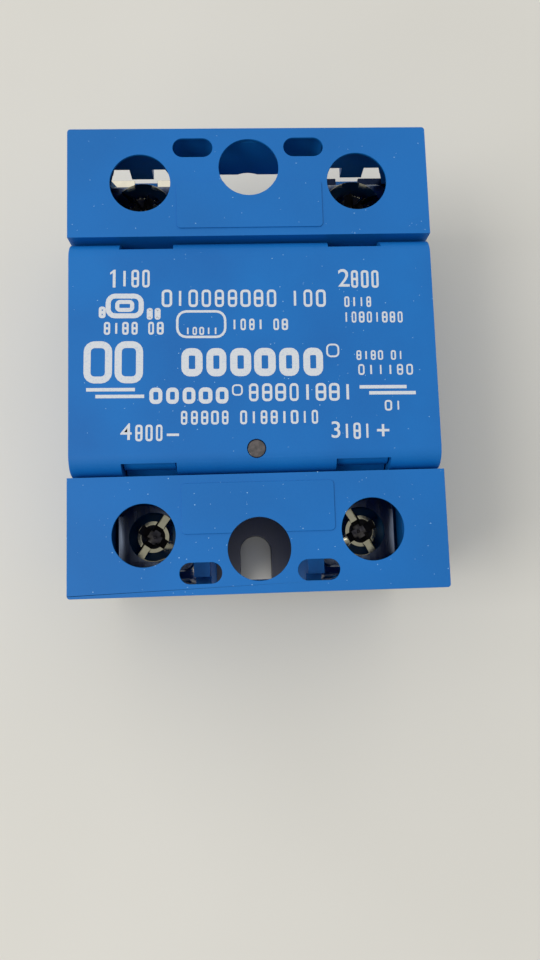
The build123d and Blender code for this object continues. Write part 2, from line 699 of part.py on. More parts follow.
with BuildPart() as surge_suppressor:
    with BuildSketch(Plane.XZ.offset(-SUPPRESSOR_Y)):
        with Locations((0, BOARD_TOP + SUPPRESSOR_RISE)):
            Circle(SUPPRESSOR_R)
    extrude(amount=SUPPRESSOR_THICK)
    fillet(surge_suppressor.edges(), SUPPRESSOR_ROUND)
    with BuildSketch(Plane.XY.offset(BOARD_TOP)):
        with Locations(*LEAD_PLACES):
            Circle(LEAD_R)
    extrude(amount=LEAD_LONG)
save(surge_suppressor.part, "surge_suppressor")

with BuildPart() as smoothing_capacitor:
    with BuildSketch(Plane.XY.offset(BOARD_TOP)):
        with Locations(CAPACITOR_PLACE):
            Circle(CAPACITOR_R)
    extrude(amount=CAPACITOR_HIGH)
    fillet(smoothing_capacitor.faces().sort_by(Axis.Z)[-1].edges(), CAPACITOR_ROUND)
save(smoothing_capacitor.part, "smoothing_capacitor")


# ---------------------------------------------------------------- indicator
DOME_Z = BOARD_TOP + LED_BODY
GUIDE_BOTTOM = DOME_Z + LED_R + GUIDE_GAP

with BuildPart() as indicator_led:
    with BuildSketch(Plane.YZ):
        with BuildLine():
            Polyline((LED_Y, BOARD_TOP), (LED_Y + LED_R, BOARD_TOP), (LED_Y + LED_R, DOME_Z))
            CenterArc((LED_Y, DOME_Z), LED_R, 0, 90)
            Line((LED_Y, DOME_Z + LED_R), (LED_Y, BOARD_TOP))
        make_face()
    revolve(axis=Axis((0, LED_Y, 0), (0, 0, 1)), revolution_arc=360)
save(indicator_led.part, "indicator_led")

with BuildPart() as light_guide:
    with BuildSketch(Plane.XY.offset(GUIDE_BOTTOM)):
        with Locations((0, LED_Y)):
            Circle(GUIDE_R)
    extrude(amount=GUIDE_TOP - GUIDE_BOTTOM)
    fillet(light_guide.faces().sort_by(Axis.Z)[-1].edges(), GUIDE_ROUND)
save(light_guide.part, "light_guide")
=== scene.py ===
import json
import logging
from dataclasses import dataclass, field
from enum import Enum
from math import cos, pi, radians, sin

import bmesh
import bpy
from bpy.types import Material, Mesh, Node, NodeSocket, NodeTree, Object
from mathutils import Euler, Matrix, Vector

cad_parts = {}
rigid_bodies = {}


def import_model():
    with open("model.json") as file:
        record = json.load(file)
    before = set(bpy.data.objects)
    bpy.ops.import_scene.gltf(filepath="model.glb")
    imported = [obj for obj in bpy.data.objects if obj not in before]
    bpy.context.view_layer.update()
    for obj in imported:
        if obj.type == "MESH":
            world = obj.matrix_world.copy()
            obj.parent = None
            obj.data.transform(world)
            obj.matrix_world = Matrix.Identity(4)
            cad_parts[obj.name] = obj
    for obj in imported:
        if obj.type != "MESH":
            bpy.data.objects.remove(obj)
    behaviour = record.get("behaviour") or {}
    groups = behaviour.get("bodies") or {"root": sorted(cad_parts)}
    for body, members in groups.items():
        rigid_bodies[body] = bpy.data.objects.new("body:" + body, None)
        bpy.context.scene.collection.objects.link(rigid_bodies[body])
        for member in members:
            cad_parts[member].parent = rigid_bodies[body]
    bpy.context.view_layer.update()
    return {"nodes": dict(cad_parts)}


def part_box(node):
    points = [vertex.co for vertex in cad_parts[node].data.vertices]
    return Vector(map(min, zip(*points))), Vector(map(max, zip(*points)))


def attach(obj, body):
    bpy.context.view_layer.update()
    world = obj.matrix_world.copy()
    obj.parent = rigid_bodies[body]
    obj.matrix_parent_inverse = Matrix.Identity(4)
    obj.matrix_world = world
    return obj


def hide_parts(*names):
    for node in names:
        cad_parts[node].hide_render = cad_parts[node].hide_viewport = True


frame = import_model()

log = logging.getLogger("relay")
MM = 0.001


class End(Enum):
    """The two ends of the relay, as the sign of Y."""

    POWER = 1
    CONTROL = -1


class Side(Enum):
    """The two sides of the relay, as the sign of X."""

    LEFT = -1
    RIGHT = 1


# ---- Small tools shared by the finishes and the sub-assemblies ----


def linear(hex_colour: str) -> tuple[float, float, float, float]:
    """Turn an sRGB hex colour into the linear colour that shaders use.

    Args:
        hex_colour: a colour such as "#2A72C0".

    Returns:
        Linear red, green, blue and an alpha of one.
    """
    parts = [int(hex_colour[i : i + 2], 16) / 255 for i in (1, 3, 5)]
    low_part, offset = 12.92, 0.055
    values = [p / low_part if p <= 0.04045 else ((p + offset) / (1 + offset)) ** 2.4 for p in parts]
    return (values[0], values[1], values[2], 1.0)


def add_node(tree: NodeTree, kind: str, inputs: dict | None = None, **settings) -> Node:
    """Add a node with its settings, its constant inputs and its links.

    Args:
        tree: the shader or geometry tree that gets the node.
        kind: the node's type name.
        inputs: socket name or number to a value, or to an output socket to link from.
        **settings: properties of the node itself.

    Returns:
        The new node.
    """
    node = tree.nodes.new(kind)
    for key, value in settings.items():
        setattr(node, key, value)
    for key, value in (inputs or {}).items():
        if isinstance(value, NodeSocket):
            tree.links.new(value, node.inputs[key])
        else:
            node.inputs[key].default_value = value
    return node


def new_object(name: str, mesh: Mesh) -> Object:
    """Link a mesh to the scene as an object at the origin."""
    obj = bpy.data.objects.new(name, mesh)
    bpy.context.scene.collection.objects.link(obj)
    return obj


def settle(obj: Object) -> Object:
    """Turn an object's modifiers into its own plain mesh.

    Args:
        obj: the object, with its modifiers still live.

    Returns:
        The same object with a plain mesh and no modifiers.
    """
    bpy.context.view_layer.update()
    evaluated = obj.evaluated_get(bpy.context.evaluated_depsgraph_get())
    mesh = bpy.data.meshes.new_from_object(evaluated)
    obj.modifiers.clear()
    obj.data = mesh
    return obj


def smooth(obj: Object, limit_deg: float) -> None:
    """Shade a mesh smooth, except across edges sharper than the limit."""
    obj.data.shade_smooth()
    obj.data.set_sharp_from_angle(angle=radians(limit_deg))


def soften(obj: Object, width_mm: float) -> None:
    """Round every sharp edge a little and keep the flats flat.

    Args:
        obj: a closed mesh with merged vertices.
        width_mm: the rounding's width.
    """
    bevel = obj.modifiers.new("edge_rounding", "BEVEL")
    bevel.width = width_mm * MM
    bevel.segments = 2
    bevel.limit_method = "ANGLE"
    bevel.angle_limit = radians(38)
    bevel.miter_outer = "MITER_ARC"
    settle(obj)
    smooth(obj, 40.0)
    weight = obj.modifiers.new("flat_faces_lead", "WEIGHTED_NORMAL")
    weight.keep_sharp = True
    weight.weight = 80
    settle(obj)


def merged_copy(node: str) -> Object:
    """Copy a CAD node's mesh, merge its loose triangles and join the flat ones.

    Args:
        node: the CAD node's name.

    Returns:
        A new object with a clean closed mesh.
    """
    mesh = frame["nodes"][node].data.copy()
    mesh.name = f"{node}_finished"
    shape = bmesh.new()
    shape.from_mesh(mesh)
    bmesh.ops.remove_doubles(shape, verts=shape.verts, dist=0.0004 * MM)
    bmesh.ops.dissolve_limit(
        shape, angle_limit=radians(0.4), verts=shape.verts, edges=shape.edges, delimit={"NORMAL"}
    )
    shape.to_mesh(mesh)
    shape.free()
    mesh.materials.clear()
    return new_object(mesh.name, mesh)


def lathe(profile: list[tuple[float, float]], centre: Vector, steps: int) -> bmesh.types.BMesh:
    """Turn a profile of radius and height points into a closed round shape.

    Args:
        profile: points from the axis at the bottom to the axis at the top, in metres.
        centre: where the axis stands.
        steps: how many segments go round.

    Returns:
        A bmesh, which the caller frees.
    """
    shape = bmesh.new()
    rings = []
    for radius, height in profile:
        if radius <= 0:
            rings.append([shape.verts.new(centre + Vector((0, 0, height)))])
            continue
        turn = [2 * pi * i / steps for i in range(steps)]
        rings.append(
            [shape.verts.new(centre + Vector((radius * cos(a), radius * sin(a), height))) for a in turn]
        )
    for lower, upper in zip(rings, rings[1:]):
        for i in range(steps):
            j = (i + 1) % steps
            if len(lower) == 1:
                shape.faces.new((lower[0], upper[j], upper[i]))
            elif len(upper) == 1:
                shape.faces.new((lower[i], lower[j], upper[0]))
            else:
                shape.faces.new((lower[i], lower[j], upper[j], upper[i]))
    bmesh.ops.recalc_face_normals(shape, faces=shape.faces)
    return shape


def mesh_object(name: str, shape: bmesh.types.BMesh) -> Object:
    """Make an object from a bmesh and free the bmesh."""
    mesh = bpy.data.meshes.new(name)
    shape.to_mesh(mesh)
    shape.free()
    return new_object(name, mesh)


def cut(body: Object, cutter: Object) -> None:
    """Take the cutter's shape out of a body and delete the cutter."""
    boolean = body.modifiers.new("cut", "BOOLEAN")
    boolean.operation = "DIFFERENCE"
    boolean.solver = "EXACT"
    boolean.object = cutter
    settle(body)
    bpy.data.objects.remove(cutter)


def join(pieces: list[Object], name: str) -> Object:
    """Join several plain objects at the origin into one named object."""
    target = pieces[0]
    with bpy.context.temp_override(
        active_object=target, object=target, selected_objects=pieces, selected_editable_objects=pieces
    ):
        bpy.ops.object.join()
    target.name = name
    target.data.name = name
    return target


def dress(obj: Object, material: Material) -> None:
    """Give an object one material in place of whatever it had."""
    obj.data.materials.clear()
    obj.data.materials.append(material)
    for face in obj.data.polygons:
        face.material_index = 0


# ---- Finishes ----


@dataclass(frozen=True)
class Finish:
    """What every finish has: a name, a colour and a shine."""

    name: str
    colour: str
    roughness: float

    def build(self) -> Material:
        """Make the material once and return it each time after that."""
        known = bpy.data.materials.get(self.name)
        if known:
            return known
        material = bpy.data.materials.new(self.name)
        material.use_nodes = True
        material.diffuse_color = linear(self.colour)
        tree = material.node_tree
        shader = tree.nodes["Principled BSDF"]
        shader.inputs["Roughness"].default_value = self.roughness
        shader.inputs["Base Color"].default_value = linear(self.colour)
        self.shade(tree, shader)
        return material

    def shade(self, tree: NodeTree, shader: Node) -> None:
        """Add what makes this finish itself; each kind of finish has its own."""

    def noise(
        self, tree: NodeTree, size_mm: float, detail: float = 2.0, squeeze: float = 1.0
    ) -> NodeSocket:
        """Return a soft random pattern, in coordinates fixed to the piece.

        Args:
            tree: the material's tree.
            size_mm: the size of one patch of the pattern.
            detail: how many finer layers lie on it.
            squeeze: less than one draws the pattern out along Y.

        Returns:
            The pattern's value, from zero to one.
        """
        place = add_node(tree, "ShaderNodeTexCoord").outputs["Object"]
        if squeeze != 1:
            drawn = {"Vector": place, "Scale": (1.0, squeeze, 1.0)}
            place = add_node(tree, "ShaderNodeMapping", drawn).outputs["Vector"]
        scale = 1 / (size_mm * MM)
        node = add_node(tree, "ShaderNodeTexNoise", {"Vector": place, "Scale": scale, "Detail": detail})
        return node.outputs["Fac"]

    def ramp(
        self, tree: NodeTree, value: NodeSocket, low: float, high: float, to: tuple
    ) -> NodeSocket:
        """Map a stretch of a pattern onto a pair of values."""
        node = add_node(
            tree,
            "ShaderNodeMapRange",
            {"Value": value, "From Min": low, "From Max": high, "To Min": to[0], "To Max": to[1]},
        )
        return node.outputs["Result"]

    def blend_colours(
        self, tree: NodeTree, amount: NodeSocket, first: object, second: object
    ) -> NodeSocket:
        """Mix two colours, each a constant or a socket, by an amount."""
        mix = add_node(tree, "ShaderNodeMix", data_type="RGBA")
        tree.links.new(amount, mix.inputs["Factor"])
        for socket, value in ((mix.inputs[6], first), (mix.inputs[7], second)):
            if isinstance(value, NodeSocket):
                tree.links.new(value, socket)
            else:
                socket.default_value = value
        return mix.outputs[2]

    def two_tone(
        self,
        tree: NodeTree,
        shader: Node,
        pattern: NodeSocket,
        stretch: tuple[float, float],
        share: float,
        second: str,
    ) -> None:
        """Colour the shader, and blend in a share of a second colour over a stretch of a pattern."""
        amount = self.ramp(tree, pattern, *stretch, (0.0, share))
        tone = self.blend_colours(tree, amount, linear(self.colour), linear(second))
        tree.links.new(tone, shader.inputs["Base Color"])

    def roughen(
        self,
        tree: NodeTree,
        shader: Node,
        height: NodeSocket,
        depth_mm: float,
    ) -> None:
        """Drive the shader's normal from a height pattern of a given depth."""
        bump = add_node(tree, "ShaderNodeBump", {"Height": height, "Strength": 1.0})
        bump.inputs["Distance"].default_value = depth_mm * MM
        tree.links.new(bump.outputs["Normal"], shader.inputs["Normal"])


@dataclass(frozen=True)
class MouldedPlastic(Finish):
    """Glass-filled polyester moulded in a spark-eroded tool: dull, finely grained, even in colour.

    The grain of such a tool is about 0.05 mm; it is drawn at 0.22 mm so that it shows.
    """

    shadow_colour: str = "#0362B0"
    pale_colour: str = "#3F86CE"
    specular: float = 0.28
    grain_mm: float = 0.22
    cloud_mm: float = 14.0
    mottle_share: float = 0.06

    def shade(self, tree: NodeTree, shader: Node) -> None:
        """Grain in the surface and a slow drift of tone."""
        grain = self.noise(tree, self.grain_mm, 3.0)
        cloud = self.ramp(tree, self.noise(tree, self.cloud_mm, 3.0), 0.35, 0.65, (0.0, 1.0))
        tone = self.blend_colours(tree, cloud, linear(self.colour), linear(self.shadow_colour))
        mottle = self.ramp(tree, grain, 0.3, 0.7, (0.0, self.mottle_share))
        tone = self.blend_colours(tree, mottle, tone, linear(self.pale_colour))
        tree.links.new(tone, shader.inputs["Base Color"])
        shine = self.ramp(tree, grain, 0.25, 0.75, (self.roughness - 0.06, self.roughness + 0.08))
        tree.links.new(shine, shader.inputs["Roughness"])
        shader.inputs["Specular IOR Level"].default_value = self.specular
        self.roughen(tree, shader, grain, 0.006)


@dataclass(frozen=True)
class PlatedSteel(Finish):
    """Metal with a thin bright plating: mirror-like, with a few duller patches from handling."""

    worn_colour: str = "#6E6A60"
    scratch_mm: float = 0.35
    wear_mm: float = 1.6
    wear_share: float = 0.25
    depth_mm: float = 0.0008

    def shade(self, tree: NodeTree, shader: Node) -> None:
        """Faint handling marks, and a duller tone in patches."""
        wear = self.noise(tree, self.wear_mm, 4.0)
        self.two_tone(tree, shader, wear, (0.42, 0.62), self.wear_share, self.worn_colour)
        shine = self.ramp(
            tree, self.noise(tree, self.scratch_mm), 0.3, 0.7, (self.roughness * 0.7, self.roughness * 1.4)
        )
        tree.links.new(shine, shader.inputs["Roughness"])
        shader.inputs["Metallic"].default_value = 1.0
        self.roughen(tree, shader, self.noise(tree, self.scratch_mm, 3.0), self.depth_mm)


@dataclass(frozen=True)
class LinedMetal(Finish):
    """Metal with fine lines along it, from rolling or milling, that blur what it reflects."""

    dark_colour: str = "#5E6064"
    line_mm: float = 0.5
    squeeze: float = 0.12
    dark_share: float = 0.5
    shine_swing: tuple[float, float] = (-0.06, 0.08)
    depth_mm: float = 0.0

    def shade(self, tree: NodeTree, shader: Node) -> None:
        """Lines along Y, in tone and in sharpness, and in height where the finish has a depth."""
        lines = self.noise(tree, self.line_mm, 3.0, self.squeeze)
        self.two_tone(tree, shader, lines, (0.35, 0.65), self.dark_share, self.dark_colour)
        shine = tuple(self.roughness + swing for swing in self.shine_swing)
        tree.links.new(self.ramp(tree, lines, 0.3, 0.7, shine), shader.inputs["Roughness"])
        shader.inputs["Metallic"].default_value = 1.0
        if self.depth_mm:
            self.roughen(tree, shader, lines, self.depth_mm)


@dataclass(frozen=True)
class PrintedInk(Finish):
    """Pad-printed ink: a thin dull coat that the plastic's grain shows through as pinholes."""

    under_colour: str = "#7FA6D2"
    pinhole_mm: float = 0.14
    thin_share: float = 0.45

    def shade(self, tree: NodeTree, shader: Node) -> None:
        """Thin spots in the coat, no wider than the plastic's own grain."""
        thin = self.noise(tree, self.pinhole_mm)
        self.two_tone(tree, shader, thin, (0.5, 0.75), self.thin_share, self.under_colour)


@dataclass(frozen=True)
class SmokedLens(Finish):
    """Smoked clear plastic: glossy, dark, with a faint haze and a speck or two inside."""

    haze_colour: str = "#4B4344"
    haze_mm: float = 0.5

    def shade(self, tree: NodeTree, shader: Node) -> None:
        """A cloudy brown-grey body under a clear skin."""
        haze = self.noise(tree, self.haze_mm, 3.0)
        self.two_tone(tree, shader, haze, (0.4, 0.65), 1.0, self.haze_colour)
        shader.inputs["Coat Weight"].default_value = 0.6
        shader.inputs["Coat Roughness"].default_value = 0.12


@dataclass(frozen=True)
class Speckled(Finish):
    """A plain fired, dipped or cured surface: one colour, broken by a finer second one."""

    speck_colour: str = "#808080"
    speck_mm: float = 0.3
    amount: float = 0.5
    metallic: float = 0.0
    depth_mm: float = 0.004

    def shade(self, tree: NodeTree, shader: Node) -> None:
        """Specks of the second colour, and a slight unevenness to match."""
        pattern = self.noise(tree, self.speck_mm, 3.0)
        self.two_tone(tree, shader, pattern, (0.4, 0.65), self.amount, self.speck_colour)
        shader.inputs["Metallic"].default_value = self.metallic
        self.roughen(tree, shader, pattern, self.depth_mm)


@dataclass(frozen=True)
class TableTop(Finish):
    """A painted pale table: nearly even, with a very soft drift of tone."""

    drift_colour: str = "#CFCEC9"
    drift_mm: float = 60.0

    def shade(self, tree: NodeTree, shader: Node) -> None:
        """A drift of tone too slow to be seen as a pattern."""
        drift = self.noise(tree, self.drift_mm, 2.0)
        tone = self.blend_colours(tree, drift, linear(self.colour), linear(self.drift_colour))
        tree.links.new(tone, shader.inputs["Base Color"])


HOUSING_BLUE = MouldedPlastic("moulded_polyester_blue", "#036BBB", 0.52)
COVER_BLUE = MouldedPlastic("moulded_polyester_blue_covers", "#0369B9", 0.48, shadow_colour="#0364B1")
BRIGHT_STEEL = PlatedSteel("nickel_plated_screw_steel", "#858373", 0.12)
# painted shade: the screw recess gets this darker colour for the shade that falls in it; the higher roughness
# is the punched surface's own
PUNCHED_STEEL_PAINTED_SHADE = PlatedSteel("punched_recess_steel", "#4B4A51", 0.5, wear_share=0.5, depth_mm=0.003)
CLAMP_STEEL = LinedMetal("nickel_plated_clamp_steel", "#737D90", 0.2, "#3E485C")
NUT_STEEL = PlatedSteel("zinc_plated_nut_steel", "#A9ACAF", 0.34, depth_mm=0.002)
TINNED_BRASS = PlatedSteel("tinned_brass_strip", "#DFDACA", 0.06, worn_colour="#A8A294", wear_share=0.15)
# painted shade: a dark navy colour put on one tinned strip in place of its bright tin, for the dark it shows
# where it lies in shade
TIN_STRIP_PAINTED_SHADE = PlatedSteel("oxidised_tin_strip", "#141D33", 0.3, worn_colour="#222C40", wear_share=0.3)
PLATE_METAL = LinedMetal(
    "milled_aluminium_plate", "#52535D", 0.36, "#5E6064", 0.3, 0.04, 0.25, (-0.03, 0.05), 0.001
)
WHITE_INK = PrintedInk("pad_printed_ink", "#CDD2DA", 0.6)
LENS = SmokedLens("smoked_indicator_lens", "#2A2526", 0.22)
SEALANT = Speckled("cured_black_sealant", "#2B2C2E", 0.55, speck_colour="#3E4043")
ALUMINA = Speckled("fired_alumina", "#E9E7E0", 0.6, speck_colour="#D9D5CA", speck_mm=0.2)
COPPER = Speckled("etched_copper", "#B87352", 0.32, speck_colour="#8C5038", metallic=1.0)
SILICON = Speckled("polished_silicon", "#4C5258", 0.2, speck_colour="#5D646B")
GEL = Speckled("potting_gel", "#CFC9B4", 0.3, speck_colour="#BDB69D", speck_mm=4.0)
BOARD_GREEN = Speckled("green_solder_mask", "#2E5B33", 0.35, speck_colour="#3B6E3F", speck_mm=0.8)
EPOXY_BLACK = Speckled("moulded_black_epoxy", "#1E1F21", 0.5, speck_colour="#2C2D30", speck_mm=0.15)
DIPPED_BLUE = Speckled("dipped_varistor_coat", "#2B4F86", 0.35, speck_colour="#375E98", speck_mm=0.8)
DRAWN_CAN = Speckled("drawn_aluminium_can", "#9FA3A6", 0.3, speck_colour="#8D9194", metallic=1.0)
CLEAR_EPOXY = Speckled("clear_led_epoxy", "#B8C7A0", 0.12, speck_colour="#A9BA90", speck_mm=1.0)
DUST = Speckled("settled_dust", "#9FC9F0", 0.9, speck_colour="#7FB4E6", speck_mm=0.1)
TABLE = TableTop("pale_table_top", "#DAD9D5", 0.75)


# ---- Patterns that repeat, as geometry node trees ----


class Pattern:
    """A geometry node tree with named sizes, which is run once and left as a plain mesh."""

    sizes: dict[str, tuple[str, object]] = {}
    tree_name = "pattern"

    def __init__(self) -> None:
        """Build the tree's sockets and then its nodes."""
        self.tree = bpy.data.node_groups.new(self.tree_name, "GeometryNodeTree")
        self.ids: dict[str, str] = {}
        face = self.tree.interface
        face.new_socket("Geometry", in_out="INPUT", socket_type="NodeSocketGeometry")
        face.new_socket("Geometry", in_out="OUTPUT", socket_type="NodeSocketGeometry")
        for name, (kind, value) in self.sizes.items():
            socket = face.new_socket(name, in_out="INPUT", socket_type=f"NodeSocket{kind}")
            if value is not None:
                socket.default_value = value
            self.ids[name] = socket.identifier
        self.given = self.tree.nodes.new("NodeGroupInput").outputs
        shape = self.grow()
        real = self.add("GeometryNodeRealizeInstances", {"Geometry": shape})
        coat = self.add(
            "GeometryNodeSetMaterial", {"Geometry": real.outputs[0], "Material": self.given["Material"]}
        )
        self.add("NodeGroupOutput", {"Geometry": coat.outputs[0]})

    def add(self, kind: str, inputs: dict | None = None, **settings) -> Node:
        """Add one node to this pattern's tree."""
        return add_node(self.tree, kind, inputs, **settings)

    def sum(self, operation: str, first: object, second: object) -> NodeSocket:
        """Add one sum of two values or sockets."""
        return self.add("ShaderNodeMath", {0: first, 1: second}, operation=operation).outputs[0]

    def joined(self, *parts: NodeSocket) -> NodeSocket:
        """Join several shapes into one."""
        whole = self.add("GeometryNodeJoinGeometry")
        for part in parts:
            self.tree.links.new(part, whole.inputs[0])
        return whole.outputs[0]

    def grow(self) -> NodeSocket:
        """Build the nodes that make the shape; each pattern has its own."""
        raise NotImplementedError

    def run(self, name: str, values: dict, base: Object | None = None) -> Object:
        """Run the tree with some sizes and keep the result as a plain mesh.

        Args:
            name: the new piece's name.
            values: the named sizes; any left out keep their defaults.
            base: an object whose mesh the tree starts from, if it needs one.

        Returns:
            A new object with a plain mesh.
        """
        mesh = base.data.copy() if base else bpy.data.meshes.new(name)
        obj = new_object(name, mesh)
        modifier = obj.modifiers.new(self.tree_name, "NODES")
        modifier.node_group = self.tree
        for key, value in values.items():
            modifier[self.ids[key]] = value
        settle(obj)
        obj.data.name = name
        return obj


class BoxLine(Pattern):
    """A printed line of plain boxes and bars, standing where a line of small print would."""

    tree_name = "printed_box_line"
    corner_share = 0.34
    bar_share = 0.8
    sizes = {
        "Count": ("Int", 6),
        "Start": ("Vector", (0.0, 0.0, 0.0)),
        "Step": ("Vector", (0.001, 0.0, 0.0)),
        "Width": ("Float", 0.0008),
        "Height": ("Float", 0.0018),
        "Stroke": ("Float", 0.0003),
        "Coat": ("Float", 0.00002),
        "Narrowest": ("Float", 0.8),
        "Kinds": ("Int", 2),
        "Seed": ("Int", 1),
        "Material": ("Material", None),
    }

    def grow(self) -> NodeSocket:
        """Boxes of slightly varied width along a straight line, some crossed by a bar."""
        given = self.given
        outline = self.add(
            "GeometryNodeCurvePrimitiveQuadrilateral", {"Width": given["Width"], "Height": given["Height"]}
        )
        corner = self.sum("MULTIPLY", self.sum("MINIMUM", given["Width"], given["Height"]), self.corner_share)
        rounded = self.add(
            "GeometryNodeFilletCurve",
            {"Curve": outline.outputs[0], "Radius": corner, "Count": 4},
            mode="POLY",
        )
        pen = self.add(
            "GeometryNodeCurvePrimitiveQuadrilateral", {"Width": given["Stroke"], "Height": given["Coat"]}
        )
        box = self.add(
            "GeometryNodeCurveToMesh", {"Curve": rounded.outputs[0], "Profile Curve": pen.outputs[0]}
        )
        thin = self.sum("MULTIPLY", given["Coat"], self.bar_share)
        crossed = self.joined(box.outputs[0], self.bar(given["Width"], given["Stroke"], thin))
        upright = self.bar(given["Stroke"], given["Height"], thin)
        choice = self.joined(
            *(
                self.add("GeometryNodeGeometryToInstance", {"Geometry": part}).outputs[0]
                for part in (upright, crossed, box.outputs[0])
            )
        )
        points = self.add(
            "GeometryNodeMeshLine",
            {"Count": given["Count"], "Start Location": given["Start"], "Offset": given["Step"]},
        )
        # the random node keeps one pair of limits per data type: 2 and 3 are real, 4 and 5 whole numbers
        kind = self.add(
            "FunctionNodeRandomValue", {4: 0, 5: given["Kinds"], "Seed": given["Seed"]}, data_type="INT"
        ).outputs[2]
        narrow = self.add(
            "FunctionNodeRandomValue", {2: given["Narrowest"], 3: 1.0, "Seed": given["Seed"]},
            data_type="FLOAT",
        ).outputs[1]
        size = self.add("ShaderNodeCombineXYZ", {"X": narrow, "Y": 1.0, "Z": 1.0})
        placed = self.add(
            "GeometryNodeInstanceOnPoints",
            {
                "Points": points.outputs[0],
                "Instance": choice,
                "Pick Instance": True,
                "Instance Index": kind,
                "Scale": size.outputs[0],
            },
        )
        return placed.outputs[0]

    def bar(self, wide: NodeSocket, tall: NodeSocket, thick: NodeSocket):
        """A flat bar, a little thinner than the boxes so that no two faces lie in one plane."""
        size = self.add("ShaderNodeCombineXYZ", {"X": wide, "Y": tall, "Z": thick})
        return self.add("GeometryNodeMeshCube", {"Size": size.outputs[0]}).outputs[0]


class Thread(Pattern):
    """A machine screw's thread: a core with a helical ridge wound round it."""

    tree_name = "screw_thread"
    sizes = {
        "Crest": ("Float", 0.0025),
        "Root": ("Float", 0.002),
        "Pitch": ("Float", 0.0008),
        "Length": ("Float", 0.008),
        "Foot": ("Vector", (0.0, 0.0, 0.0)),
        "Material": ("Material", None),
    }

    def grow(self) -> NodeSocket:
        """A spiral swept by a diamond section, over a plain core."""
        given = self.given
        turns = self.sum("DIVIDE", given["Length"], given["Pitch"])
        spiral = self.add(
            "GeometryNodeCurveSpiral",
            {
                "Resolution": 28,
                "Rotations": turns,
                "Start Radius": given["Root"],
                "End Radius": given["Root"],
                "Height": given["Length"],
            },
        )
        depth = self.sum("SUBTRACT", given["Crest"], given["Root"])
        section = self.add(
            "GeometryNodeCurvePrimitiveCircle", {"Resolution": 4, "Radius": depth}, mode="RADIUS"
        )
        ridge = self.add(
            "GeometryNodeCurveToMesh",
            {"Curve": spiral.outputs[0], "Profile Curve": section.outputs[0], "Fill Caps": True},
        )
        core = self.add(
            "GeometryNodeMeshCylinder", {"Vertices": 40, "Radius": given["Root"], "Depth": given["Length"]}
        )
        half = self.sum("MULTIPLY", given["Length"], 0.5)
        lifted = self.moved(core.outputs[0], self.add("ShaderNodeCombineXYZ", {"Z": half}).outputs[0])
        return self.moved(self.joined(ridge.outputs[0], lifted), given["Foot"])

    def moved(self, shape: NodeSocket, by: NodeSocket) -> NodeSocket:
        """Move a shape by a vector."""
        return self.add("GeometryNodeTransform", {"Geometry": shape, "Translation": by}).outputs[0]


class DustFall(Pattern):
    """Dust on the upward faces of a piece: tiny pale flecks, more of them small than large."""

    tree_name = "dust_fall"
    flattest = 0.97
    sizes = {
        "Density": ("Float", 60000.0),
        "Lowest": ("Float", 0.029),
        "Size": ("Float", 0.00009),
        "Seed": ("Int", 3),
        "Material": ("Material", None),
    }

    def grow(self) -> NodeSocket:
        """Flecks scattered where the surface faces up."""
        given = self.given
        up = self.add("ShaderNodeSeparateXYZ", {0: self.add("GeometryNodeInputNormal").outputs[0]})
        faces_up = self.add(
            "FunctionNodeCompare", {0: up.outputs["Z"], 1: self.flattest}, operation="GREATER_THAN"
        )
        place = self.add("ShaderNodeSeparateXYZ", {0: self.add("GeometryNodeInputPosition").outputs[0]})
        high = self.add(
            "FunctionNodeCompare", {0: place.outputs["Z"], 1: given["Lowest"]}, operation="GREATER_THAN"
        )
        on_top = self.add(
            "FunctionNodeBooleanMath", {0: faces_up.outputs[0], 1: high.outputs[0]}, operation="AND"
        )
        points = self.add(
            "GeometryNodeDistributePointsOnFaces",
            {
                "Mesh": given["Geometry"],
                "Selection": on_top.outputs[0],
                "Density": given["Density"],
                "Seed": given["Seed"],
            },
        )
        fleck = self.add("GeometryNodeMeshIcoSphere", {"Radius": given["Size"], "Subdivisions": 1})
        size = self.add(
            "FunctionNodeRandomValue",
            {"Min": (0.2, 0.2, 0.1), "Max": (1.0, 0.7, 0.25), "Seed": given["Seed"]},
            data_type="FLOAT_VECTOR",
        )
        placed = self.add(
            "GeometryNodeInstanceOnPoints",
            {"Points": points.outputs[0], "Instance": fleck.outputs[0], "Scale": size.outputs[0]},
        )
        return placed.outputs[0]


# ---- Sub-assemblies ----


@dataclass
class Shell:
    """A moulded or pressed piece whose shape is the CAD node's, with its edges finished."""

    node: str
    body: str
    finish: Finish
    edge_mm: float = 0.12

    def build(self) -> Object:
        """Make the finished piece and let it stand for the CAD node."""
        obj = merged_copy(self.node)
        soften(obj, self.edge_mm)
        dress(obj, self.finish.build())
        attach(obj, self.body)
        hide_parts(self.node)
        log.info("%s: %d faces", obj.name, len(obj.data.polygons))
        return obj


